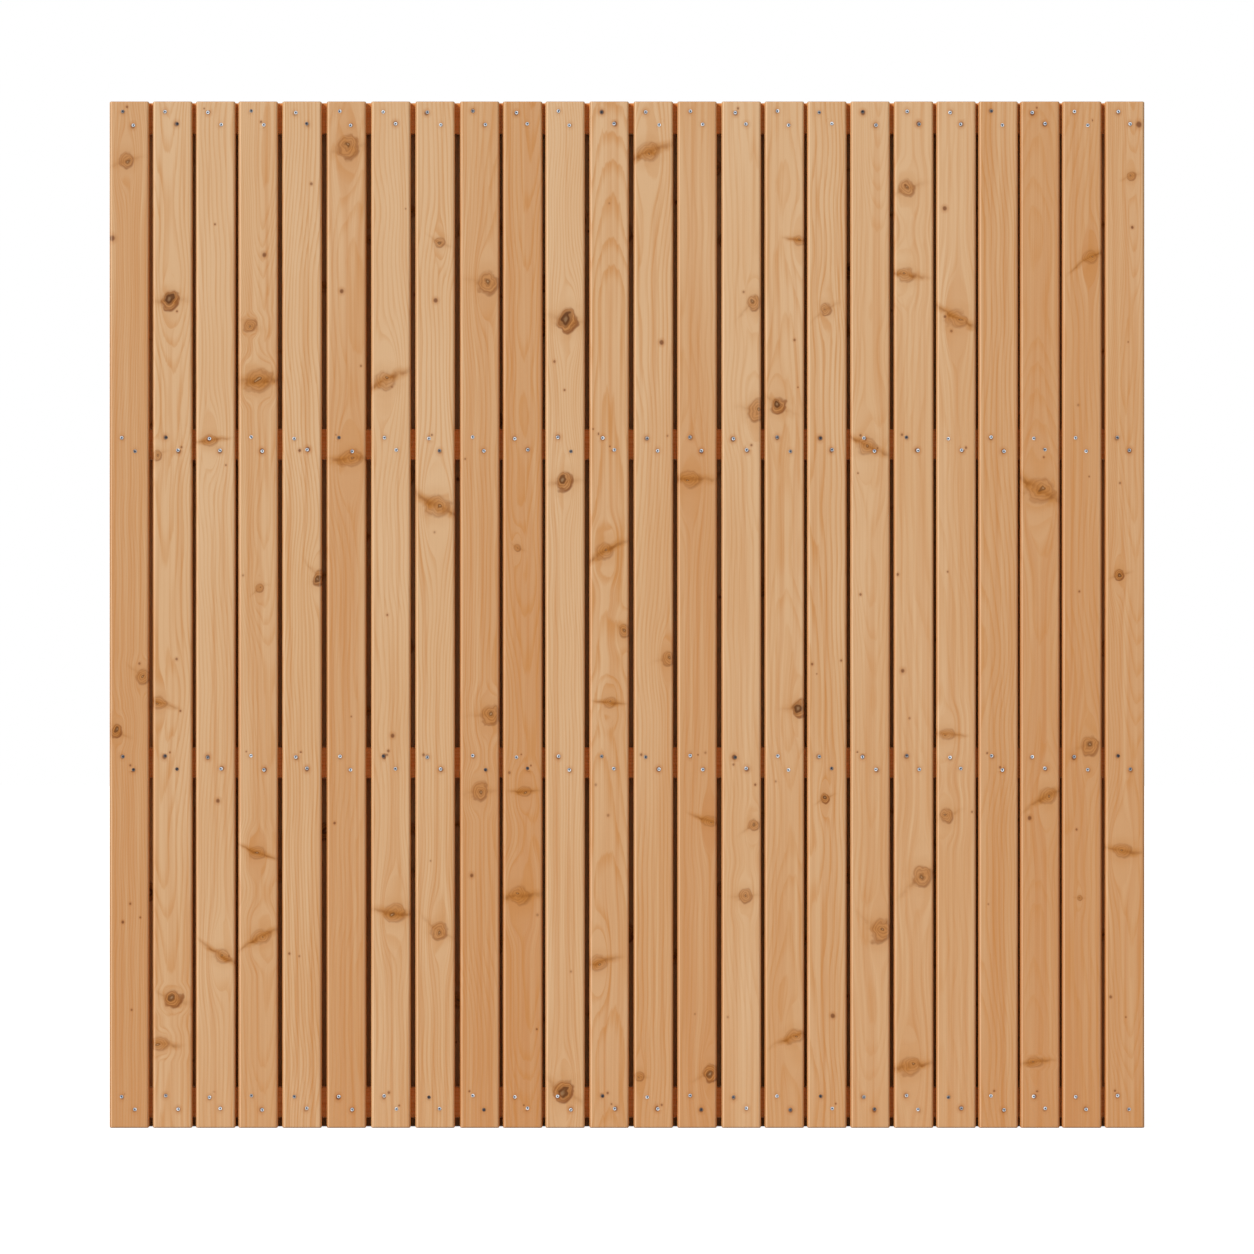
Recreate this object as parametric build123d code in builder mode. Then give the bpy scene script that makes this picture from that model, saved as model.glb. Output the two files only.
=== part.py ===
from build123d import *
import math
import os

# A wooden fence panel of upright slats, in millimetres. Slats are nailed to both sides of four
# cross rails, and each back slat covers a gap of the front, so the panel can't be seen through.
# The front faces -Y, the width runs along X, +Z is up, and the origin lies on the ground, under
# the middle of the panel.

os.makedirs("parts", exist_ok=True)

# Slats, all cut from one planed stock: its weather side has round arrises and bevelled ends, the
# side on the rails small bevels
front_slat_count = 24
slat_width = 68.5
slat_thickness = 16.0
slat_length = 1785.0
arris_radius = 4.5
inner_bevel = 1.5
end_bevel = 2.5

# Gaps between neighbouring front slats. The slats are spaced by eye as they are nailed on, so each
# gap has its own share of the mean one, from left to right.
mean_gap = 6.75
gap_shares = [
    1.00, 0.95, 0.80, 1.15, 1.30, 1.30, 1.25, 1.35, 0.90, 0.80, 1.20, 1.25,
    1.10, 1.25, 0.95, 0.80, 1.00, 1.05, 0.80, 0.70, 0.60, 0.65, 0.90,
]

# Cross rails: how far the top one stays under the slat ends, how far the bottom one stays off the
# ground, and how far each middle one lies from its neighbour, centre to centre
rail_height = 54.0
rail_thickness = 28.0
rail_bevel = 2.0
rail_end_setback = 1.0
top_rail_drop = 2.0
foot_clearance = 17.0
upper_bay = 567.0
lower_bay = 591.0

# Nails, two at each crossing, one up and to the left, one down and to the right, driven through
# the slat and well into the rail
nail_length = 38.0
nail_shank = 2.8
nail_head = 6.0
nail_head_depth = 2.4
nail_head_stand = 0.3
nail_pair_width = 20.8
nail_pair_height = 22.0
nail_pair_shift = 1.7
nail_wander = 1.5


def slat_edges():
    """Returns the left and the right edge of each front slat along X."""
    gaps = [mean_gap * gap_shares[k % len(gap_shares)] for k in range(front_slat_count - 1)]
    left = -(front_slat_count * slat_width + sum(gaps)) / 2
    edges = []
    for gap in gaps + [0.0]:
        edges.append((left, left + slat_width))
        left += slat_width + gap
    return edges


edges = slat_edges()
panel_width = edges[-1][1] - edges[0][0]
front_centres = [(left + right) / 2 for left, right in edges]
back_centres = [(edges[k][1] + edges[k + 1][0]) / 2 for k in range(front_slat_count - 1)]

bottom_rail_centre = foot_clearance + rail_height / 2
top_rail_centre = slat_length - top_rail_drop - rail_height / 2
rail_centres = {
    "bottom_rail": bottom_rail_centre,
    "lower_rail": bottom_rail_centre + lower_bay,
    "upper_rail": top_rail_centre - upper_bay,
    "top_rail": top_rail_centre,
}

slat_middle = (rail_thickness + slat_thickness) / 2
face_distance = rail_thickness / 2 + slat_thickness


# The slat stock, standing at the origin with its weather side towards -Y
with BuildPart() as stock:
    with BuildSketch(Plane.XY) as section:
        Rectangle(slat_width, slat_thickness)
        fillet(section.vertices().group_by(Axis.Y)[0], arris_radius)
        chamfer(section.vertices().group_by(Axis.Y)[-1], inner_bevel)
    extrude(amount=slat_length)
    for height, up in [(end_bevel, -1), (slat_length - end_bevel, 1)]:
        split(bisect_by=Plane((0, -slat_thickness / 2, height), z_dir=(0, -1, up)), keep=Keep.BOTTOM)
        for hand in (-1, 1):
            split(bisect_by=Plane((hand * slat_width / 2, 0, height), z_dir=(hand, 0, up)), keep=Keep.BOTTOM)


def place_slats(row, centres, side):
    """Places one slat at each centre, in the front row with side -1 and in the back row with side 1."""
    for number, x in enumerate(centres, start=1):
        plane = Plane((x, side * slat_middle, 0), x_dir=(-side, 0, 0), z_dir=(0, 0, 1))
        with BuildPart() as slat:
            with Locations(plane):
                add(stock.part)
        slat.part.label = f"{row}_slat_{number:02d}"
        export_step(slat.part, f"parts/{slat.part.label}.step")


place_slats("front", front_centres, -1)
place_slats("back", back_centres, 1)

for name, height in rail_centres.items():
    rail_length = panel_width - 2 * rail_end_setback
    with BuildPart() as rail:
        with BuildSketch(Plane.YZ.offset(-rail_length / 2)) as section:
            with Locations((0, height)):
                Rectangle(rail_thickness, rail_height)
            chamfer(section.vertices(), rail_bevel)
        extrude(amount=rail_length)
    rail.part.label = name
    export_step(rail.part, f"parts/{name}.step")

# One nail, pointing down from its head: a flared head on a plain shank
with BuildPart() as nail:
    with BuildSketch(Plane.XY):
        Rectangle(nail_head, nail_head)
    with BuildSketch(Plane.XY.offset(-nail_head_depth)):
        Rectangle(nail_shank, nail_shank)
    loft()
    with BuildSketch(Plane.XY.offset(-nail_head_depth)):
        Rectangle(nail_shank, nail_shank)
    extrude(amount=nail_head_depth - nail_length)


def nail_places(centres, side):
    """Places two nails at each crossing of the slats and rails, on the front with side -1 and on
    the back with side 1, each a little off its mark as a hand leaves it."""
    places = []
    for row, height in enumerate(rail_centres.values()):
        for column, x in enumerate(centres):
            for up in (1, -1):
                turn = 5 * column + 3 * row + up
                across = up * nail_pair_width / 2 + nail_pair_shift + nail_wander * math.sin(turn)
                above = up * nail_pair_height / 2 + nail_wander * math.cos(2 * turn)
                spot = (x + side * across, side * (face_distance + nail_head_stand), height + above)
                places.append(Plane(spot, x_dir=(1, 0, 1), z_dir=(0, side, 0)).location)
    return places


for name, centres, side in [("front_nails", front_centres, -1), ("back_nails", back_centres, 1)]:
    with BuildPart() as nails:
        with Locations(*nail_places(centres, side)):
            add(nail.part)
    nails.part.label = name
    export_step(nails.part, f"parts/{name}.step")
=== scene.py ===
import math
import random
from collections import namedtuple

import bpy
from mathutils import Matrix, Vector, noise


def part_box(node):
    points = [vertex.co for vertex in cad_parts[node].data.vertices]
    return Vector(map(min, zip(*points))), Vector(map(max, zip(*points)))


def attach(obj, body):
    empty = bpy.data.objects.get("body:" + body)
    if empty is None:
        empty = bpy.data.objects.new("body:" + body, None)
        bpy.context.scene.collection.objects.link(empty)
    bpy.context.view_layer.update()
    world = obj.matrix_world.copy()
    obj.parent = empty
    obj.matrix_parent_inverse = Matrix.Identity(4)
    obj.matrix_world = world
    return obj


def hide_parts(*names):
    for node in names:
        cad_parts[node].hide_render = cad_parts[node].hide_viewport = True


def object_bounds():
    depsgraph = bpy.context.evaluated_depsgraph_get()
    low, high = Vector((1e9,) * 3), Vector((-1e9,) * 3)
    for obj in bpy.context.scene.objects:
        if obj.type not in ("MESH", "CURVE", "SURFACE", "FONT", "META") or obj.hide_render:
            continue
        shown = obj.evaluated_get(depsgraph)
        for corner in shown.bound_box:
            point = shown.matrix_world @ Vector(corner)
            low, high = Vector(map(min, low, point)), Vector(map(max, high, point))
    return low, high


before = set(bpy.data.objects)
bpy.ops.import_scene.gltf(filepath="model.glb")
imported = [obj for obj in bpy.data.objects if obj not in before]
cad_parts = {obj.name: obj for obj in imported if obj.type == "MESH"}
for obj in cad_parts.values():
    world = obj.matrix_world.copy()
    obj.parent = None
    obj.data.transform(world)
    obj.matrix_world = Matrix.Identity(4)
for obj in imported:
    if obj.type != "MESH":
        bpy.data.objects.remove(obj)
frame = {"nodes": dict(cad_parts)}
cad_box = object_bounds()
nodes = frame["nodes"]

# The panel's front faces -Y, its slats stand along Z, and its rails lie along X. Sizes are in metres
# and colours are given as a screen shows them, from 0 to 255.

FRONT_ROW = sorted(name for name in nodes if name.startswith("front_slat_"))
BACK_ROW = sorted(name for name in nodes if name.startswith("back_slat_"))
RAILS = ["top_rail", "upper_rail", "lower_rail", "bottom_rail"]

# Easing of the slats' edges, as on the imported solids
ARRIS_RADIUS = 0.0045
INNER_BEVEL = 0.0015
END_BEVEL = 0.0025
EASING_STEPS = 3

# Least rise of an edge that stands upright
LEVEL_EDGE = 0.0001

# Vertices across and along a slat, whose mesh carries the knots' places and the grain's slow bends
VERTICES_ACROSS = 9
VERTICES_ALONG = 116

# What a face of a slat is, told by where it points: the walls of the gaps face sideways, and a
# steep strip of an arris faces more sideways than the rest of it
WALL_TURN = 0.9
STEEP_TURN = 0.5
ARRIS_TURN = 0.1

# How far such faces take the painted shade of the gaps, how much painted shade a right arris takes,
# and how dark the painted shade is on the steep strip of a left arris next to a gap
OUTER_WALL_SHADE = 0.15
INNER_FACE_SHADE = 0.5
ARRIS_SHADE = 0.4
STEEP_STRIP_SHADE = 0.6

# Half a slat's width and a little more, and the radius of the dark ring painted round a nail's head as
# the shade of its dent and its stain
HALF_SLAT = 0.035
DENT_RADIUS = 0.0042

# Height at which a leaning grain crosses its slat's middle
TILT_HEIGHT = 0.9

# Where the panel's sides are, how near them a face is their own wall, and how wide the strip along
# them is that the back slats leave open
PANEL_SIDE = cad_box[1][0]
SIDE_WALL = 0.005
OPEN_EDGE = 0.036
OPEN_EDGE_FADE = 0.004

# Depths between which a rail turns to the painted shade of the gaps
RAIL_SHADE_FROM = 0.0125
RAIL_SHADE_TO = 0.0137

# Nails. A head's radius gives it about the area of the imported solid's square head.
HEAD_RADIUS = 0.0034
HEAD_RIM = 0.0005
HEAD_THICKNESS = 0.0011
SHANK_RADIUS = 0.0014
SHANK_LENGTH = 0.038
NAIL_SIDES = 12

# Rows of nail heads: how far apart points of one head may lie, and how far off the outermost face
HEAD_SPREAD = 0.012
HEAD_DEPTH = 0.0001

# Light: the key's place is given in degrees above the ground and to the left of the camera
WORLD_LIGHT = 0.42
KEY_LIGHT = 3.0
KEY_RISE = 32.0
KEY_TURN = 49.0
KEY_SOFTNESS = 14.0
FLOOR_GREY = 0.4
FLOOR_GLOW = 0.86
FLOOR_REACH = 30.0
WHITE = (1.0, 1.0, 1.0, 1.0)

# The photograph's frame
PHOTO_SIDE = 1254
PANEL_WIDTH_ON_PHOTO = 1035.0
PANEL_MIDDLE_ABOVE_CENTRE = 12.3
CAMERA_DISTANCE = 14.0
SENSOR_WIDTH = 36.0

Tone = namedtuple("Tone", "light red")
Figure = namedtuple("Figure", "heart_across heart_depth lean ring tilt")
Knot = namedtuple("Knot", "up across radius kind")
Spot = namedtuple("Spot", "up across radius strength")
# A look's high is a painted sheen, which makes the wood paler and less red
Look = namedtuple("Look", "ring seed light red contrast mottle high hump")

# How each kind of knot looks: its height for its width, how dark its eye is, how strong its disc,
# its rings and the line round it are, and how strong the stain is that runs off sideways
KNOT_KINDS = {
    "ring": (1.1, 0.5, 0.5, 0.3),
    "dark": (1.15, 0.9, 0.8, 0.4),
    "smear": (0.8, 0.35, 0.3, 1.0),
}

# Knots on each front slat: height above the ground, distance from the slat's middle and radius, all
# in millimetres, and kind. A pin is a knot too small to bend the grain, and is drawn as a spot.
KNOTS = {
    1: [(1683, -5, 11, "ring"), (1547, -30, 4, "pin"), (785, 24, 10, "ring"), (691, -21, 9, "dark"),
        (358, -11, 2, "pin")],
    2: [(1439, -4, 12, "dark"), (1169, -27, 7, "ring"), (740, -25, 12, "smear"), (224, 1, 13, "dark"),
        (146, -25, 14, "smear")],
    3: [(1196, -10, 12, "smear"), (569, 4, 3, "pin"), (299, 11, 15, "smear")],
    4: [(1518, 11, 3, "pin"), (1396, -15, 10, "ring"), (1300, 0, 20, "smear"), (938, 2, 6, "ring"),
        (479, -1, 13, "smear"), (334, 6, 15, "smear")],
    5: [(957, 30, 10, "dark"), (1178, -4, 2, "pin")],
    6: [(1705, 2, 16, "ring"), (1455, -8, 3, "pin"), (1164, 6, 17, "smear")],
    7: [(1300, -11, 17, "smear"), (682, 3, 3, "pin"), (374, 7, 16, "smear")],
    8: [(1540, 8, 8, "ring"), (1439, 1, 3, "pin"), (1082, 3, 19, "smear"), (343, 8, 13, "ring")],
    9: [(1469, 14, 15, "ring"), (717, 18, 14, "ring"), (586, 0, 12, "ring"), (439, -14, 3, "pin")],
    10: [(1009, -9, 6, "ring"), (586, 4, 10, "smear"), (404, -5, 17, "smear")],
    11: [(1404, 4, 15, "dark"), (1124, -1, 12, "dark"), (64, -3, 14, "dark")],
    12: [(865, 27, 10, "ring"), (740, 1, 10, "smear"), (1004, -8, 15, "smear"), (287, -20, 14, "smear")],
    13: [(1697, -10, 18, "smear"), (1366, 14, 3, "pin"), (816, 25, 10, "ring"), (90, -24, 7, "ring")],
    14: [(1129, -13, 17, "smear"), (534, 22, 12, "smear"), (96, 25, 12, "dark")],
    15: [(1436, 22, 10, "ring"), (1248, 27, 13, "ring"), (526, 21, 9, "ring"), (404, 7, 10, "ring")],
    16: [(1256, -12, 12, "dark"), (729, 28, 13, "dark"), (1544, 27, 10, "smear"), (160, 18, 14, "smear")],
    17: [(1425, -1, 9, "ring"), (574, -3, 7, "dark"), (195, 10, 3, "pin")],
    18: [(1187, -8, 16, "smear"), (343, 17, 15, "ring")],
    19: [(1634, -12, 13, "ring"), (1483, -15, 14, "smear"), (439, 14, 15, "ring"), (795, -19, 3, "pin"),
         (108, -7, 16, "smear")],
    20: [(1408, 1, 17, "smear"), (684, -17, 12, "smear"), (543, -17, 11, "ring"), (1599, -20, 3, "pin")],
    22: [(1109, -1, 22, "smear"), (578, 13, 14, "smear"), (539, -18, 3, "pin"), (115, -9, 12, "smear"),
         (108, 17, 6, "dark")],
    23: [(1514, 14, 12, "smear"), (665, 14, 13, "ring"), (400, -4, 4, "ring")],
    24: [(1655, 11, 7, "ring"), (1566, 13, 2, "pin"), (1745, 25, 4, "pin"), (962, -10, 8, "dark"),
         (482, -6, 15, "smear")],
}

# Stands in for the knots of a slat that has none
OUT_OF_SIGHT = Knot(-9.0, 0.0, 0.01, "smear")

# How light and how red each front slat is, against the mean of them all
PALE, EVEN, REDDISH, RED = Tone(0.55, -0.4), Tone(0.0, 0.0), Tone(-0.5, 0.6), Tone(-1.0, 1.0)
FRONT_TONES = {1: REDDISH, 2: PALE, 3: PALE, 4: EVEN, 5: PALE, 6: REDDISH, 7: PALE, 8: PALE, 9: REDDISH,
               10: RED, 11: PALE, 12: EVEN, 13: EVEN, 14: REDDISH, 15: PALE, 16: EVEN, 17: EVEN, 18: EVEN,
               19: EVEN, 20: EVEN, 21: REDDISH, 22: RED, 23: RED, 24: REDDISH}

# Front slats whose face shows the arches of the tree's rings
ARCHED = {2, 4, 10, 12, 16, 18, 22, 24}


def paint(red, green, blue):
    """Turns a colour as a screen shows it into a linear one."""
    return tuple(((c / 255 + 0.055) / 1.055) ** 2.4 for c in (red, green, blue)) + (1.0,)


class Signal:
    """A value that varies over a surface. Sums and products of signals add Math nodes."""

    def __init__(self, nodes, socket):
        self.nodes = nodes
        self.socket = socket

    def math(self, operation, *others, clamp=False):
        settings = {"operation": operation, "use_clamp": clamp}
        return self.nodes.node("ShaderNodeMath", settings, dict(enumerate((self,) + others)))

    def __add__(self, other):
        return self.math("ADD", other)

    def __sub__(self, other):
        return self.math("SUBTRACT", other)

    def __mul__(self, other):
        return self.math("MULTIPLY", other)

    def __truediv__(self, other):
        return self.math("DIVIDE", other)

    def __rsub__(self, other):
        return self.nodes.node("ShaderNodeMath", {"operation": "SUBTRACT"}, {0: other, 1: self})

    def __rtruediv__(self, other):
        return self.nodes.node("ShaderNodeMath", {"operation": "DIVIDE"}, {0: other, 1: self})

    def __neg__(self):
        return self.math("MULTIPLY", -1.0)

    __radd__ = __add__
    __rmul__ = __mul__

    def __abs__(self):
        return self.math("ABSOLUTE")

    def at_least(self, other):
        return self.math("MAXIMUM", other)

    def clamped(self):
        return self.math("ADD", 0.0, clamp=True)

    def root(self):
        return self.math("SQRT")

    def fraction(self):
        return self.math("FRACT")

    def smooth(self, low, high):
        """Goes from 0 at low to 1 at high, with soft ends. Low may be the greater."""
        settings = {"interpolation_type": "SMOOTHSTEP"}
        values = {"Value": self, "From Min": low, "From Max": high}
        if low > high:
            values.update({"From Min": high, "From Max": low, "To Min": 1.0, "To Max": 0.0})
        return self.nodes.node("ShaderNodeMapRange", settings, values)


class Nodes:
    """The nodes of one material or of the world, added one by one."""

    def __init__(self, tree):
        self.tree = tree

    def add(self, kind, settings=None, values=None):
        """Adds a node, sets it up, then links or sets its sockets. Returns the node."""
        made = self.tree.nodes.new(kind)
        for key, value in (settings or {}).items():
            setattr(made, key, value)
        for key, value in (values or {}).items():
            if isinstance(value, Signal):
                self.tree.links.new(value.socket, made.inputs[key])
            else:
                made.inputs[key].default_value = value
        return made

    def node(self, kind, settings=None, values=None, out=0):
        """Adds a node and returns one of its outputs as a signal."""
        return Signal(self, self.add(kind, settings, values).outputs[out])

    def seen_directly(self):
        """Is 1 for the camera, a mirror or glass, which see a white ground, and 0 for the object's light."""
        rays = self.add("ShaderNodeLightPath").outputs
        camera, mirror, glass = (Signal(self, rays[f"Is {kind} Ray"])
                                 for kind in ("Camera", "Glossy", "Transmission"))
        return camera.at_least(mirror).at_least(glass)


class Finish(Nodes):
    """A material."""

    def __init__(self, name):
        self.material = bpy.data.materials.new(name)
        self.material.use_nodes = True
        super().__init__(self.material.node_tree)
        self.tree.nodes.clear()
        self.output = self.add("ShaderNodeOutputMaterial")

    def split(self, vector):
        """Returns the three parts of a vector."""
        made = self.add("ShaderNodeSeparateXYZ", None, {0: vector})
        return [Signal(self, out) for out in made.outputs]

    def join(self, x, y, z):
        return self.node("ShaderNodeCombineXYZ", None, {0: x, 1: y, 2: z})

    def mark(self, name):
        """Returns the three parts of a mark kept on the mesh."""
        return self.split(self.node("ShaderNodeAttribute", {"attribute_name": name}, None, "Vector"))

    def noise(self, vector, scale, detail, roughness=0.5):
        values = {"Vector": vector, "Scale": scale, "Detail": detail, "Roughness": roughness}
        return self.node("ShaderNodeTexNoise", None, values)

    def mix(self, amount, first, second, blend="MIX"):
        """Mixes two colours. Either may be a signal."""
        settings = {"data_type": "RGBA", "blend_type": blend}
        return self.node("ShaderNodeMix", settings, {0: amount, 6: first, 7: second}, 2)

    def cover(self, shader):
        """Ends the material with a shader and returns it."""
        self.tree.links.new(shader.socket, self.output.inputs["Surface"])
        return self.material

    def surface(self, values):
        return self.cover(self.node("ShaderNodeBsdfPrincipled", None, values))


# Colours of the wood, from its pale early rings to its knots and spots
EARLYWOOD = paint(216, 170, 123)
PALE_WOOD = paint(224, 185, 143)
RED_WOOD = paint(203, 144, 93)
LATEWOOD = paint(200, 134, 68)
KNOT_STAIN = paint(188, 122, 52)
KNOT_FLESH = paint(184, 115, 44)
KNOT_RIM = paint(122, 62, 20)
KNOT_EYE = paint(80, 42, 18)
KNOT_CORE = paint(198, 160, 116)
END_GRAIN = paint(160, 106, 62)
# A painted highlight on the slats' left arrises, which face the key light
EDGE_HIGHLIGHT = paint(240, 206, 168)
SPOT_HALO = paint(184, 114, 54)
SPOT_BROWN = paint(104, 52, 22)

# Colours of the nails
DULL_ZINC = paint(150, 160, 174)
BRIGHT_ZINC = paint(234, 240, 246)
OLD_STEEL = paint(70, 58, 54)
RIM_SHADE_AND_STAIN = paint(74, 52, 48)

# What the wood's colour is multiplied by as painted shade: deep in the gaps and on right arrises,
# on the rails where they face the slats, and on the steep strip of a left arris next to a gap
GAP_SHADE_TINT = (1.12, 0.88, 0.53, 1.0)
RAIL_SHADE_TINT = (1.0, 0.78, 0.48, 1.0)
EDGE_SHADE_TINT = (0.45, 0.38, 0.3, 1.0)

# Steps of the patterns in a metre: across the wood's grain, along it, and on the nails' zinc
FIBRES_ACROSS = 420.0
FIBRES_ALONG = 12.0
STREAKS_ACROSS = 125.0
STREAKS_ALONG = 1.6
RIPPLES = 60.0
ZINC_GRAINS = 900.0
ZINC_BLOTCHES = 260.0

# How far the heart of the rails' tree lies under the ground and behind the panel's middle, and how
# wide its rings are. So high above it they show as lines.
RAIL_HEART_BELOW = 0.05
RAIL_HEART_BEHIND = 0.04
RAIL_RING = 0.006


def knot_signals(finish, across, along, ripple):
    """Returns how the nearest knot bends the grain, and what it paints."""
    middle, height, radius = finish.mark("knot_place")
    stretch, eye, rim = finish.mark("knot_form")
    stain, bent, room = finish.mark("knot_reach")
    eye_across, eye_up, hump = finish.mark("knot_eye")
    side = (across - middle) / radius
    rise = (along - height) / radius
    near = abs(rise) / room
    fade = near.smooth(1.0, 0.35)
    flow = (side * side + rise * rise * 0.08).at_least(1.0)
    wavy = (ripple - 0.5) * 1.1
    slanted = side + rise * bent + wavy
    level = (rise - side * bent) / stretch + wavy * 0.8
    reach = (slanted * slanted + level * level).root()
    off_side = slanted - eye_across
    off_level = level - eye_up
    ring = (off_side * off_side + off_level * off_level).root()
    curl = level - side * bent * 1.5 + side * side * bent * 0.3
    wing = (side * side * 0.1 + curl * curl * 1.6).root()
    vein = abs(curl).smooth(0.3, 0.03) * abs(side).smooth(3.2, 0.7)
    return {"push": side * radius * fade / flow, "hump": hump * fade / flow, "reach": reach,
            "ring": ring, "wing": wing, "vein": vein, "eye": eye, "rim": rim * fade,
            "stain": stain * fade, "fade": fade, "lower": side - rise}


def paint_knot(finish, colour, knot, ripple):
    """Paints a knot: stained wings with a dark vein, a soft brown disc with rings off its middle,
    a line round it that is stronger on one side, and a small eye with a pale core."""
    wings = knot["wing"].smooth(1.15, 0.1) * knot["stain"]
    colour = finish.mix((wings * (ripple * 1.3 + 0.1)).clamped(), colour, KNOT_STAIN)
    vein = knot["vein"] * knot["stain"] * (ripple * 1.6 - 0.3).clamped()
    colour = finish.mix(vein * 0.75, colour, KNOT_RIM)
    disc = knot["reach"].smooth(1.15, 0.8) * knot["fade"]
    colour = finish.mix(knot["reach"].smooth(2.4, 1.0) * knot["fade"] * 0.16, colour, KNOT_STAIN)
    colour = finish.mix(disc * (knot["rim"] * 0.5 + 0.2), colour, KNOT_FLESH)
    turn = (knot["ring"] * 3.4 + ripple).fraction()
    rings = disc * turn.smooth(0.2, 0.9) * (knot["rim"] * 0.5 + 0.06)
    colour = finish.mix(rings, colour, KNOT_RIM)
    line = knot["reach"].smooth(0.7, 0.95) * knot["reach"].smooth(1.25, 1.0)
    colour = finish.mix(line * knot["rim"] * (knot["lower"] * 0.25 + 0.55), colour, KNOT_RIM)
    eye = knot["ring"] / (knot["eye"] * 0.75).at_least(0.05)
    dark = eye.smooth(1.0, 0.5) * (knot["eye"] * 0.5 + 0.35) * knot["fade"]
    colour = finish.mix(dark, colour, KNOT_EYE)
    core = eye.smooth(0.4, 0.1) * (0.75 - knot["eye"] * 0.4) * knot["fade"]
    return finish.mix(core, colour, KNOT_CORE)


def paint_spot(finish, colour, across, along, ripple):
    """Paints the nearest small spot: a dark middle in a warm halo."""
    spot_across, height, radius = finish.mark("spot_place")
    strength = finish.mark("spot_look")[0]
    side = across - spot_across
    rise = along - height
    far = (side * side + rise * rise * 0.8).root() / radius + (ripple - 0.5) * 0.8
    colour = finish.mix(far.smooth(2.6, 0.9) * strength * 0.5, colour, SPOT_HALO)
    return finish.mix(far.smooth(1.3, 0.5) * strength, colour, SPOT_BROWN)


def fibres(finish, across, depth, along):
    """The finest pattern of the wood, drawn out along the grain."""
    place = finish.join(across * FIBRES_ACROSS, depth * FIBRES_ACROSS, along * FIBRES_ALONG)
    return finish.noise(place, 1.0, 1.0)


def paint_grain(finish, place, heart, look):
    """Paints early and late wood, as rings round the tree's heart and as streaks along the bent grain.
    Returns the colour and the streaks."""
    across, depth, along = place
    side, back = heart
    drawn = finish.join(across * STREAKS_ACROSS + look.seed, depth * STREAKS_ACROSS, along * STREAKS_ALONG)
    streak = finish.noise(drawn, 1.0, 3.0, 0.62)
    rings = (side * side + back * back).root() / look.ring + look.hump + (streak - 0.5) * 0.9
    year = rings.fraction()
    late = year.smooth(0.4, 0.9) * year.smooth(1.0, 0.9) * (streak * 1.4 + 0.1)
    # Look's high is a painted sheen: it makes the wood paler and less red
    pale = look.high + look.light * 0.4 + look.mottle * 0.4 + (0.5 - streak) * 0.9 + 0.15
    red = 0.42 - look.high + look.red * 0.45 + (streak - 0.5) * 1.6
    colour = finish.mix(pale.clamped(), EARLYWOOD, PALE_WOOD)
    colour = finish.mix(red.clamped(), colour, RED_WOOD)
    colour = finish.mix((late * look.contrast).clamped(), colour, LATEWOOD)
    streaky = (streak - 0.54) * 2.2 * look.contrast
    return finish.mix(streaky.clamped(), colour, LATEWOOD), streak


def planed(finish, colour, streak, ribs, coat):
    """Ends a wood finish: dull, a little smoother in its streaks, and faintly ribbed by its fibres."""
    ribbed = {"Strength": 0.3, "Distance": 0.0005, "Height": ribs}
    bump = finish.node("ShaderNodeBump", None, ribbed, "Normal")
    return finish.surface({"Base Color": colour, "Roughness": 0.72 - streak * 0.22, "Normal": bump,
                           "Specular IOR Level": 0.15, **coat})


def slat_finish(name):
    """Planed softwood of the slats, with their knots, spots, end grain and edges, painted shade in the gaps,
    and a painted highlight and painted shade on the arrises.
    """
    finish = Finish(name)
    across, depth, along = finish.split(finish.node("ShaderNodeTexCoord", None, None, "Object"))
    middle, heart_across, heart_depth = finish.mark("board")
    lean, ring, seed = finish.mark("figure")
    light, red, contrast = finish.mark("tone")
    wander, sway, mottle = finish.mark("grain")
    ripple = finish.noise(finish.join(across, depth * 0.3, along), RIPPLES, 1.5, 0.6)
    knot = knot_signals(finish, across, along, ripple)
    bent = across - knot["push"]
    heart = (bent - middle - heart_across + wander, depth - heart_depth - lean * along + sway)
    # Along times 0.22 is a painted sheen of the light from above, paler and less red towards the top
    look = Look(ring, seed, light, red, contrast, mottle, along * 0.22, knot["hump"])
    colour, streak = paint_grain(finish, (bent, depth, along), heart, look)
    colour = paint_knot(finish, colour, knot, ripple)
    colour = paint_spot(finish, colour, across, along, ripple)
    end, wall, arris = finish.mark("surface")
    colour = finish.mix(end * 0.75, colour, END_GRAIN)
    # Painted shade: the walls and inner faces of the gaps and the right arrises turn deeper and browner
    colour = finish.mix(wall, colour, GAP_SHADE_TINT, "MULTIPLY")
    # Painted shade on the steep strip of a left arris, where it turns away into the gap
    colour = finish.mix((-arris).clamped(), colour, EDGE_SHADE_TINT, "MULTIPLY")
    # Painted highlight on the left arrises
    colour = finish.mix((arris * 0.45).clamped(), colour, EDGE_HIGHLIGHT)
    ribs = fibres(finish, across, depth, along)
    coat = {"Coat Weight": (arris * 0.4).clamped(), "Coat Roughness": 0.4}
    return planed(finish, colour, streak, ribs, coat)


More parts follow.
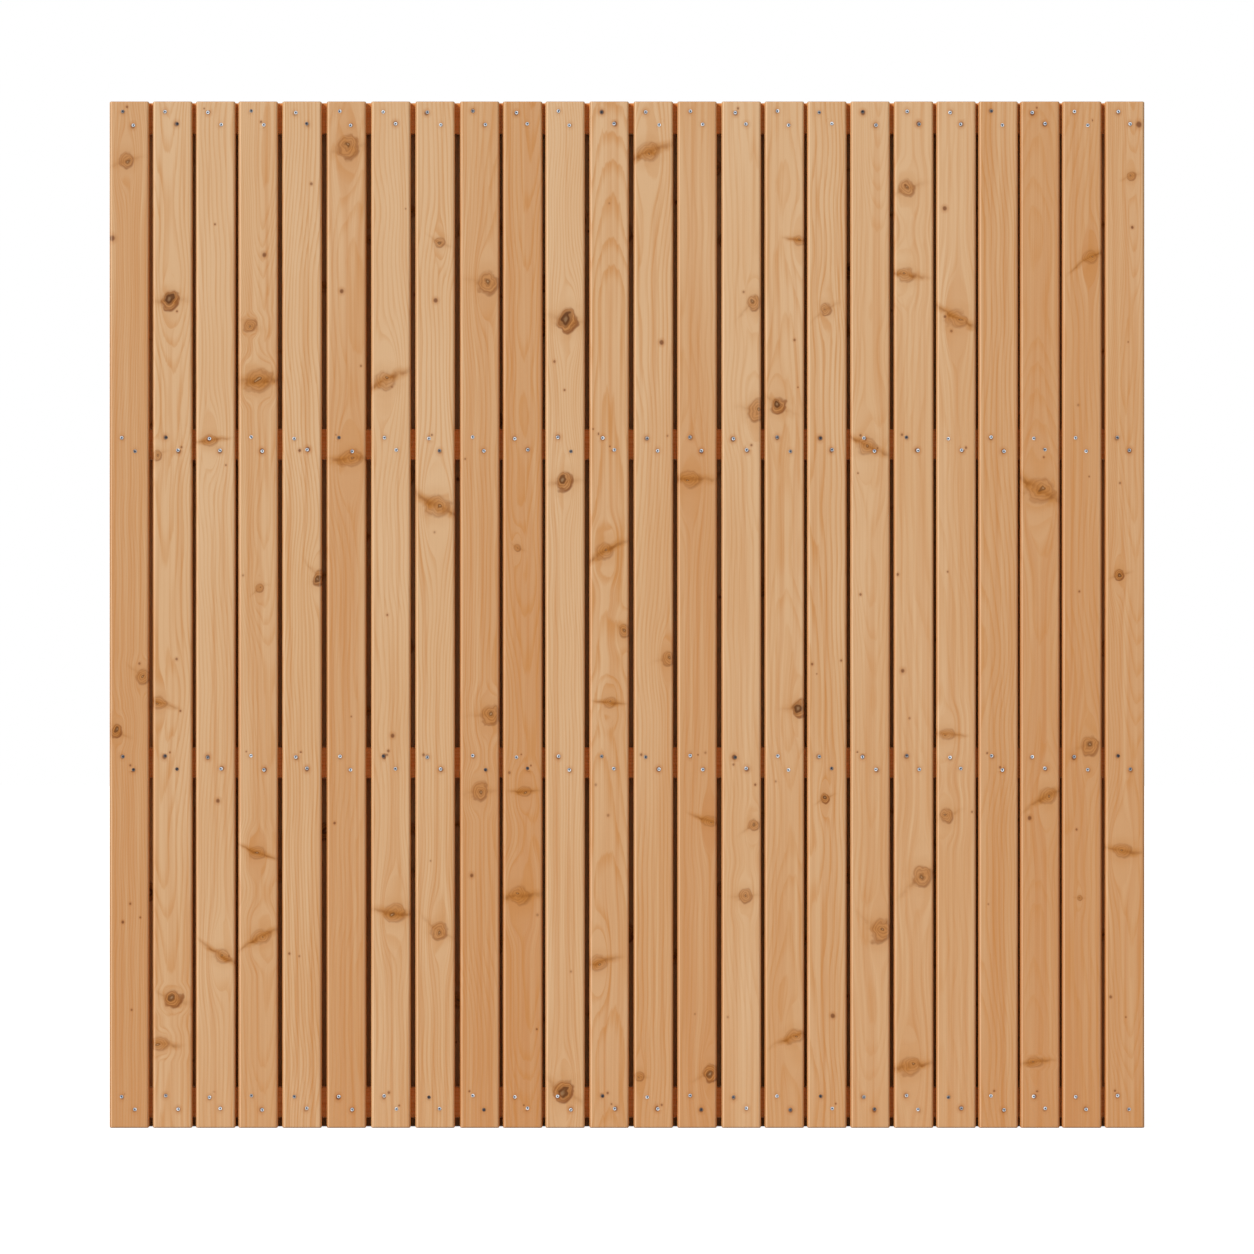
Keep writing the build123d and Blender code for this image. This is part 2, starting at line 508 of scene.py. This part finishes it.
def rail_finish(name):
    """Planed softwood of the rails, with its grain along X. It is painted browner, as shade, where it faces
    the slats.
    """
    finish = Finish(name)
    along, depth, across = finish.split(finish.node("ShaderNodeTexCoord", None, None, "Object"))
    ribs = fibres(finish, across, depth, along)
    heart = (across + RAIL_HEART_BELOW, depth - RAIL_HEART_BEHIND)
    # The rails' high is an even painted sheen, as on the slats at half their height
    look = Look(RAIL_RING, seed=3.0, light=-0.4, red=0.9, contrast=0.8, mottle=ribs - 0.5, high=0.2,
                hump=0.0)
    colour, streak = paint_grain(finish, (across, depth, along), heart, look)
    # Painted shade where a rail faces the slats, except near the panel's open sides
    shaded = abs(depth).smooth(RAIL_SHADE_FROM, RAIL_SHADE_TO)
    inside = (PANEL_SIDE - abs(along)).smooth(OPEN_EDGE - OPEN_EDGE_FADE, OPEN_EDGE)
    colour = finish.mix(shaded * inside, colour, RAIL_SHADE_TINT, "MULTIPLY")
    return planed(finish, colour, streak, ribs, {})


def zinc_finish(name):
    """Zinc on steel, spangled, dark on old nails, and darker at the rim of each head, as painted shade of
    its dent with some stain.
    """
    finish = Finish(name)
    place = finish.node("ShaderNodeTexCoord", None, None, "Object")
    grains = finish.noise(place, ZINC_GRAINS, 2.0)
    blotch = finish.noise(place, ZINC_BLOTCHES, 1.0)
    rim, age, _ = finish.mark("nail")
    colour = finish.mix(blotch.smooth(0.35, 0.65), DULL_ZINC, BRIGHT_ZINC)
    colour = finish.mix(age.smooth(0.25, 0.9) * 0.9, colour, OLD_STEEL)
    # Painted shade with some stain at the rim of each head
    colour = finish.mix(rim * 0.5, colour, RIM_SHADE_AND_STAIN)
    rough = 0.34 + (grains - 0.5) * 0.3 + rim * 0.3
    return finish.surface({"Base Color": colour, "Roughness": rough, "Metallic": 1.0 - rim * 0.8})


class Geometry:
    """A Geometry Nodes tree with named inputs, built one node at a time."""

    def __init__(self, name, inputs):
        self.tree = bpy.data.node_groups.new(name, "GeometryNodeTree")
        self.tree.interface.new_socket("Geometry", in_out="INPUT", socket_type="NodeSocketGeometry")
        self.keys = {}
        for label, kind in inputs.items():
            socket = self.tree.interface.new_socket(label, in_out="INPUT", socket_type=f"NodeSocket{kind}")
            self.keys[label] = socket.identifier
        self.tree.interface.new_socket("Geometry", in_out="OUTPUT", socket_type="NodeSocketGeometry")
        self.start = self.tree.nodes.new("NodeGroupInput")

    def given(self, label):
        return self.start.outputs[label]

    def node(self, kind, settings=None, values=None, out=0):
        """Adds a node, sets it up, then links or sets its sockets. Returns one of its outputs."""
        made = self.tree.nodes.new(kind)
        for key, value in (settings or {}).items():
            setattr(made, key, value)
        for key, value in (values or {}).items():
            if isinstance(value, bpy.types.NodeSocket):
                self.tree.links.new(value, made.inputs[key])
            else:
                made.inputs[key].default_value = value
        return made.outputs[out]

    def math(self, operation, *values):
        return self.node("ShaderNodeMath", {"operation": operation}, dict(enumerate(values)))

    def finish(self, geometry):
        end = self.tree.nodes.new("NodeGroupOutput")
        self.tree.links.new(geometry, end.inputs[0])


def grow(name, seeds, tree, values, finishing=()):
    """Runs a tree on a mesh of points and returns the result as a plain mesh object."""
    source = bpy.data.objects.new(name, seeds)
    bpy.context.collection.objects.link(source)
    modifier = source.modifiers.new("grow", "NODES")
    modifier.node_group = tree.tree
    for label, value in values.items():
        modifier[tree.keys[label]] = value
    for add_modifier in finishing:
        add_modifier(source)
    shape = source.evaluated_get(bpy.context.evaluated_depsgraph_get())
    mesh = bpy.data.meshes.new_from_object(shape)
    bpy.data.objects.remove(source)
    piece = bpy.data.objects.new(name, mesh)
    bpy.context.collection.objects.link(piece)
    return piece


def slat_tree():
    """One eased slat at each point of the given mesh. Weights on its edges say how much each is eased."""
    tree = Geometry("Slat row", {"Size": "Vector", "Vertices across": "Int", "Vertices along": "Int",
                                 "Outside": "Float", "Inner ease": "Float", "End ease": "Float",
                                 "Material": "Material"})
    block = tree.node("GeometryNodeMeshCube", None, {
        "Size": tree.given("Size"), "Vertices X": tree.given("Vertices across"), "Vertices Y": 3,
        "Vertices Z": tree.given("Vertices along")})
    corner = tree.math("GREATER_THAN", tree.node("GeometryNodeInputMeshEdgeAngle", None, None, 0), 1.0)
    ends = tree.node("GeometryNodeInputMeshEdgeVertices", None, None, "Position 1")
    others = tree.node("GeometryNodeInputMeshEdgeVertices", None, None, "Position 2")
    run = tree.node("ShaderNodeVectorMath", {"operation": "SUBTRACT"}, {0: ends, 1: others})
    rise = tree.node("ShaderNodeSeparateXYZ", None, {0: run}, 2)
    upright = tree.math("GREATER_THAN", tree.math("ABSOLUTE", rise), LEVEL_EDGE)
    depth = tree.node("ShaderNodeSeparateXYZ", None, {0: ends}, 1)
    outer = tree.math("GREATER_THAN", tree.math("MULTIPLY", depth, tree.given("Outside")), 0.0)
    inner = tree.math("SUBTRACT", 1.0, outer)
    long_ease = tree.math("ADD", outer, tree.math("MULTIPLY", inner, tree.given("Inner ease")))
    level = tree.math("SUBTRACT", 1.0, upright)
    ease = tree.math("ADD", tree.math("MULTIPLY", upright, long_ease),
                     tree.math("MULTIPLY", level, tree.given("End ease")))
    weight = tree.math("MULTIPLY", corner, ease)
    eased = tree.node("GeometryNodeStoreNamedAttribute", {"data_type": "FLOAT", "domain": "EDGE"},
                      {"Geometry": block, "Name": "bevel_weight_edge", "Value": weight})
    row = tree.node("GeometryNodeInstanceOnPoints", None,
                    {"Points": tree.given("Geometry"), "Instance": eased})
    real = tree.node("GeometryNodeRealizeInstances", None, {"Geometry": row})
    tree.finish(tree.node("GeometryNodeSetMaterial", None,
                          {"Geometry": real, "Material": tree.given("Material")}))
    return tree


def ease_edges(piece):
    bevel = piece.modifiers.new("ease", "BEVEL")
    bevel.limit_method = "WEIGHT"
    bevel.width = ARRIS_RADIUS
    bevel.segments = EASING_STEPS
    bevel.use_clamp_overlap = False


def middle_and_size(node):
    low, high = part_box(node)
    return [(a + b) / 2 for a, b in zip(low, high)], [b - a for a, b in zip(low, high)]


def points_mesh(name, points):
    mesh = bpy.data.meshes.new(name)
    mesh.from_pydata(points, [], [])
    return mesh


def put_marks(mesh, name, domain, values):
    """Keeps a vector on each face or vertex."""
    layer = mesh.attributes.new(name, "FLOAT_VECTOR", domain)
    layer.data.foreach_set("vector", [part for value in values for part in value])


def surface_of(face, side):
    """Says whether a face is end grain, how far it takes the painted shade of the gaps, and how much painted
    highlight its arris gets. A left arris gets a painted highlight, a right arris painted shade, and less
    than nothing stands for the painted shade on a left arris's steep strip next to the gap."""
    normal = face.normal
    edge = PANEL_SIDE - abs(face.center.x)
    end = 1.0 if abs(normal.z) > 0.5 else 0.0
    if abs(normal.x) > WALL_TURN:
        return end, OUTER_WALL_SHADE if edge < SIDE_WALL else 1.0, 0.0
    # The steep strip of a left arris, turned into the gap, gets painted shade
    if normal.x < -STEEP_TURN:
        return end, 0.0, -STEEP_STRIP_SHADE
    if side * normal.y < -0.5:
        return end, 0.0 if edge < OPEN_EDGE else INNER_FACE_SHADE, 0.0
    # A right arris, turned from the key light, takes painted shade; a left arris a painted highlight
    if abs(normal.x) > ARRIS_TURN:
        rightwards = (1 + normal.x) / 2
        return end, ARRIS_SHADE * rightwards, 1 - rightwards
    return end, 0.0, 0.0


def nearest_board(boards, x):
    """Finds the slat whose middle is nearest, among the few round where even gaps would put it."""
    pitch = boards[1]["middle"] - boards[0]["middle"]
    guess = round((x - boards[0]["middle"]) / pitch)
    return min(boards[max(guess - 1, 0):guess + 2], key=lambda board: abs(board["middle"] - x))


def bends(board, x, z):
    """Says how the grain wanders across, how it sways in depth, and how mottled the wood is."""
    off = x - board["middle"]

    def slow(across, along, shift):
        return noise.noise((off * across, z * along, board["seed"] + shift))

    wander = 0.016 * slow(6, 2.6, 0.0) + 0.006 * slow(17, 9, 7.5)
    sway = 0.014 * slow(5, 2.1, 20.5) + 0.004 * slow(14, 8, 31.5)
    return wander + board["figure"].tilt * (z - TILT_HEIGHT), sway, slow(12, 3.5, 50.5)


def mark_slats(piece, boards, side):
    """Gives each face its slat's figure and tone, the knot nearest in height and the nearest spot, and
    each vertex the slow bends of the grain."""
    mesh = piece.data
    marks = {}
    for face in mesh.polygons:
        centre = face.center
        board = nearest_board(boards, centre.x)
        figure, tone = board["figure"], board["tone"]
        knot = min(board["knots"], key=lambda k: abs(centre.z - k["up"]) / k["radius"])
        spot = min(board["spots"], key=lambda s: math.hypot(centre.x - s.across, centre.z - s.up))
        here = {"board": (board["middle"], figure.heart_across, figure.heart_depth),
                "figure": (figure.lean, figure.ring, board["seed"]),
                "tone": (tone.light, tone.red, board["contrast"]),
                "spot_place": (spot.across, spot.up, spot.radius),
                "spot_look": (spot.strength, 0.0, 0.0),
                "surface": surface_of(face, side),
                **knot["marks"]}
        for name, value in here.items():
            marks.setdefault(name, []).append(value)
    for name, values in marks.items():
        put_marks(mesh, name, "FACE", values)
    places = [(vertex.co.x, vertex.co.z) for vertex in mesh.vertices]
    put_marks(mesh, "grain", "POINT", [bends(nearest_board(boards, x), x, z) for x, z in places])


def knots_with_marks(board_middle, knots, draw):
    """Works out what each knot's faces carry. Its grain bends only as far as half way to the next."""
    ready = []
    for knot in knots or [OUT_OF_SIGHT]:
        stretch, eye, rim, stain = KNOT_KINDS[knot.kind]
        others = [abs(knot.up - other.up) / (knot.radius + other.radius)
                  for other in knots if other is not knot]
        room = max(min(others + [12.0]) - 0.7, 1.3)
        ready.append({"up": knot.up, "radius": knot.radius, "marks": {
            "knot_place": (board_middle + knot.across, knot.up, knot.radius * 1.12),
            "knot_form": (stretch * draw.uniform(0.9, 1.15), eye * draw.uniform(0.6, 1.1), rim),
            "knot_reach": (stain, draw.uniform(-0.3, 0.3), room),
            "knot_eye": (draw.uniform(-0.3, 0.3), draw.uniform(-0.25, 0.25),
                         draw.choice((-1, 1)) * draw.uniform(0.6, 1.5))}})
    return ready


def slat_row(name, row, side, material, describe):
    """Makes one row of slats in place of its nodes. Side is -1 for the front row, 1 for the back."""
    places = [middle_and_size(node) for node in row]
    size = places[0][1]
    tree = slat_tree()
    piece = grow(name, points_mesh(name, [middle for middle, _ in places]), tree, {
        "Size": size, "Vertices across": VERTICES_ACROSS, "Vertices along": VERTICES_ALONG,
        "Outside": float(side), "Inner ease": INNER_BEVEL / ARRIS_RADIUS,
        "End ease": END_BEVEL / ARRIS_RADIUS, "Material": material}, [ease_edges])
    boards = [describe(number, middle[0]) for number, (middle, _) in enumerate(places, start=1)]
    mark_slats(piece, boards, side)
    eased = [max(abs(part) for part in face.normal) < 0.999 for face in piece.data.polygons]
    piece.data.polygons.foreach_set("use_smooth", eased)
    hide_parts(*row)
    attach(piece, "root")
    return piece


def figure_for(draw, arched):
    """Draws where the tree's heart lies from a board: behind its middle for arches, aside for lines."""
    if arched:
        return Figure(heart_across=draw.uniform(-0.012, 0.012), heart_depth=draw.uniform(0.03, 0.045),
                      lean=draw.choice((-1, 1)) * draw.uniform(0.015, 0.03),
                      ring=draw.uniform(0.0028, 0.0040), tilt=draw.uniform(-0.006, 0.006))
    return Figure(heart_across=draw.choice((-1, 1)) * draw.uniform(0.03, 0.09),
                  heart_depth=draw.uniform(0.03, 0.07), lean=draw.uniform(-0.01, 0.01),
                  ring=draw.uniform(0.0032, 0.0056), tilt=draw.uniform(-0.02, 0.02))


def board_of(number, middle, figure, tone, knots, pins, nails, draw):
    """Gathers what the faces of one slat carry. Its spots are dark rings round its nails' heads, painted
    as the shade of the dent each head leaves and as its stain, small marks beside some nails, its pins, and
    a few specks anywhere."""
    near = [nail for nail in nails if abs(nail[0] - middle) < HALF_SLAT]
    # A ring lies mostly a little below its head, as painted shade of the dent with its stain
    spots = [Spot(nail[2] - draw.uniform(-0.0006, 0.0016), nail[0] + draw.uniform(-0.0016, 0.0016),
                  DENT_RADIUS, draw.uniform(0.1, 0.9)) for nail in near]
    spots += [Spot(nail[2] + draw.uniform(0.004, 0.009),
                   nail[0] + draw.choice((-1, 1)) * draw.uniform(0.004, 0.009),
                   draw.uniform(0.0014, 0.0024), 0.6) for nail in near if draw.random() < 0.3]
    spots += [Spot(pin.up, middle + pin.across, pin.radius * 1.25, 0.75) for pin in pins]
    spots += [Spot(draw.uniform(0.1, 1.7), middle + draw.uniform(-0.028, 0.028),
                   draw.uniform(0.0013, 0.0024), draw.uniform(0.35, 0.7))
              for _ in range(draw.randint(1, 4))]
    return {"middle": middle, "figure": figure, "tone": tone, "seed": number * 7.3 + 0.4,
            "contrast": draw.uniform(0.22, 0.62), "knots": knots_with_marks(middle, knots, draw),
            "spots": spots}


def front_board(number, middle):
    draw = random.Random(100 + number)
    marks = [Knot(up / 1000, across / 1000, radius / 1000, kind)
             for up, across, radius, kind in KNOTS.get(number, [])]
    knots = [mark for mark in marks if mark.kind != "pin"]
    pins = [mark for mark in marks if mark.kind == "pin"]
    return board_of(number, middle, figure_for(draw, number in ARCHED), FRONT_TONES[number], knots, pins,
                    front_nail_places, draw)


def back_board(number, middle):
    draw = random.Random(500 + number)
    knots, pins = [], []
    for height in sorted(draw.sample(range(1, 17), draw.randint(2, 5))):
        kind = draw.choice(("ring", "ring", "dark", "smear", "smear"))
        knots.append(Knot(height * 0.105 + draw.uniform(-0.03, 0.03), draw.uniform(-0.024, 0.024),
                          draw.uniform(0.008, 0.015), kind))
    for _ in range(draw.randint(0, 3)):
        pins.append(Knot(draw.uniform(0.1, 1.7), draw.uniform(-0.028, 0.028), 0.0025, "pin"))
    tone = Tone(draw.uniform(-0.8, 0.6), draw.uniform(-0.3, 0.9))
    return board_of(number + 60, middle, figure_for(draw, draw.random() < 0.35), tone, knots, pins,
                    back_nail_places, draw)


def nail_centres(node, side):
    """Finds the middle of each nail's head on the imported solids, on the outermost face of that side."""
    mesh = nodes[node].data
    outermost = max(side * v.co.y for v in mesh.vertices)
    centres = []
    for vertex in mesh.vertices:
        if side * vertex.co.y < outermost - HEAD_DEPTH:
            continue
        for group in centres:
            if math.hypot(group[0].x - vertex.co.x, group[0].z - vertex.co.z) < HEAD_SPREAD:
                group.append(vertex.co)
                break
        else:
            centres.append([vertex.co])
    return [((min(c.x for c in g) + max(c.x for c in g)) / 2, side * outermost,
             (min(c.z for c in g) + max(c.z for c in g)) / 2) for g in centres]


def nail_tree():
    """One nail at each point: a shank and a flat, slightly crowned head."""
    tree = Geometry("Nails", {"Head radius": "Float", "Rim": "Float", "Head thickness": "Float",
                              "Shank radius": "Float", "Shank length": "Float", "Sides": "Int",
                              "Turn": "Vector", "Material": "Material"})
    crown = tree.node("GeometryNodeMeshCone", {"fill_type": "NGON"}, {
        "Vertices": tree.given("Sides"), "Radius Top": tree.math("SUBTRACT", tree.given("Head radius"),
                                                                 tree.given("Rim")),
        "Radius Bottom": tree.given("Head radius"), "Depth": tree.given("Head thickness")})
    shank = tree.node("GeometryNodeMeshCylinder", {"fill_type": "NGON"}, {
        "Vertices": tree.given("Sides"), "Radius": tree.given("Shank radius"),
        "Depth": tree.given("Shank length")})
    half_down = tree.math("MULTIPLY", tree.given("Shank length"), -0.5)
    drop = tree.node("ShaderNodeCombineXYZ", None, {2: half_down})
    set_down = tree.node("GeometryNodeTransform", None, {"Geometry": shank, "Translation": drop})
    sink = tree.node("ShaderNodeCombineXYZ", None,
                     {2: tree.math("MULTIPLY", tree.given("Head thickness"), -1.0)})
    head = tree.node("GeometryNodeTransform", None, {"Geometry": crown, "Translation": sink})
    both = tree.tree.nodes.new("GeometryNodeJoinGeometry")
    tree.tree.links.new(set_down, both.inputs[0])
    tree.tree.links.new(head, both.inputs[0])
    turn = tree.node("FunctionNodeEulerToRotation", None, {0: tree.given("Turn")})
    spread = tree.node("GeometryNodeInstanceOnPoints", None, {
        "Points": tree.given("Geometry"), "Instance": both.outputs[0], "Rotation": turn})
    real = tree.node("GeometryNodeRealizeInstances", None, {"Geometry": spread})
    tree.finish(tree.node("GeometryNodeSetMaterial", None,
                          {"Geometry": real, "Material": tree.given("Material")}))
    return tree


def mark_nails(piece, centres):
    """Keeps on each face whether it lies at its head's rim or below, and how old its nail looks."""
    draw = random.Random(31)
    ages = [draw.random() ** 1.7 for _ in centres]
    faces = len(piece.data.polygons) // len(centres)
    values = []
    for face in piece.data.polygons:
        number = min(face.index // faces, len(centres) - 1)
        rim = 0.0 if abs(face.normal.y) > 0.9 else 1.0
        values.append((rim, ages[number], 0.0))
    put_marks(piece.data, "nail", "FACE", values)


def nail_set(name, node, centres, side, material):
    turn = (math.radians(-90 * side), 0.0, 0.0)
    piece = grow(name, points_mesh(name, centres), nail_tree(), {
        "Head radius": HEAD_RADIUS, "Rim": HEAD_RIM, "Head thickness": HEAD_THICKNESS,
        "Shank radius": SHANK_RADIUS, "Shank length": SHANK_LENGTH, "Sides": NAIL_SIDES,
        "Turn": turn, "Material": material})
    mark_nails(piece, centres)
    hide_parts(node)
    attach(piece, "root")
    return piece


slat_wood = slat_finish("Planed slat wood")
rail_wood = rail_finish("Rail wood")
nail_zinc = zinc_finish("Nail zinc")

front_nail_places = nail_centres("front_nails", -1)
back_nail_places = nail_centres("back_nails", 1)
slat_row("front_slats", FRONT_ROW, -1, slat_wood, front_board)
slat_row("back_slats", BACK_ROW, 1, slat_wood, back_board)
for rail in RAILS:
    nodes[rail].data.materials.clear()
    nodes[rail].data.materials.append(rail_wood)
nail_set("front_nail_set", "front_nails", front_nail_places, -1, nail_zinc)
nail_set("back_nail_set", "back_nails", back_nail_places, 1, nail_zinc)


def white_to_the_eye(name, grey, glow):
    """A pale ground that keeps the object's shadow and looks white where nothing shades it."""
    finish = Finish(name)
    diffuse = finish.node("ShaderNodeBsdfDiffuse", None, {"Color": (grey, grey, grey, 1.0)})
    glowing = {"Color": WHITE, "Strength": finish.seen_directly() * glow}
    shine = finish.node("ShaderNodeEmission", None, glowing)
    return finish.cover(finish.node("ShaderNodeAddShader", None, {0: diffuse, 1: shine}))


floor = bpy.data.objects.new("floor", bpy.data.meshes.new("floor"))
corners = [(-1, -1), (1, -1), (1, 1), (-1, 1)]
floor.data.from_pydata([(x * FLOOR_REACH, y * FLOOR_REACH, 0.0) for x, y in corners], [], [(0, 1, 2, 3)])
floor.data.materials.append(white_to_the_eye("Pale floor", FLOOR_GREY, FLOOR_GLOW))
bpy.context.collection.objects.link(floor)

# World: white to the eye, a plain soft light for the object
world = bpy.data.worlds.new("Studio")
bpy.context.scene.world = world
world.use_nodes = True
sky = Nodes(world.node_tree)
background = sky.tree.nodes["Background"]
background.inputs["Color"].default_value = WHITE
sky_light = sky.seen_directly() * (1.0 - WORLD_LIGHT) + WORLD_LIGHT
sky.tree.links.new(sky_light.socket, background.inputs["Strength"])

# Key light: a large soft source, far off, up and to the left of the camera
key = bpy.data.objects.new("key light", bpy.data.lights.new("key light", "SUN"))
key.data.energy = KEY_LIGHT
key.data.angle = math.radians(KEY_SOFTNESS)
key.rotation_euler = (math.radians(90 - KEY_RISE), 0.0, math.radians(-KEY_TURN))
bpy.context.collection.objects.link(key)

# Camera: square on to the front, far off, with the panel a little above the middle of the frame
camera = bpy.data.objects.new("camera", bpy.data.cameras.new("camera"))
panel_width = cad_box[1][0] - cad_box[0][0]
metres_per_pixel = panel_width / PANEL_WIDTH_ON_PHOTO
frame_width = metres_per_pixel * PHOTO_SIDE
camera.data.sensor_width = SENSOR_WIDTH
camera.data.lens = SENSOR_WIDTH * CAMERA_DISTANCE / frame_width
panel_middle = (cad_box[0][2] + cad_box[1][2]) / 2
camera_height = panel_middle - PANEL_MIDDLE_ABOVE_CENTRE * metres_per_pixel
camera.location = (0.0, cad_box[0][1] - CAMERA_DISTANCE, camera_height)
camera.rotation_euler = (math.radians(90), 0.0, 0.0)
camera.data.clip_end = 100.0
bpy.context.collection.objects.link(camera)
bpy.context.scene.camera = camera
bpy.context.scene.view_settings.view_transform = "Standard"
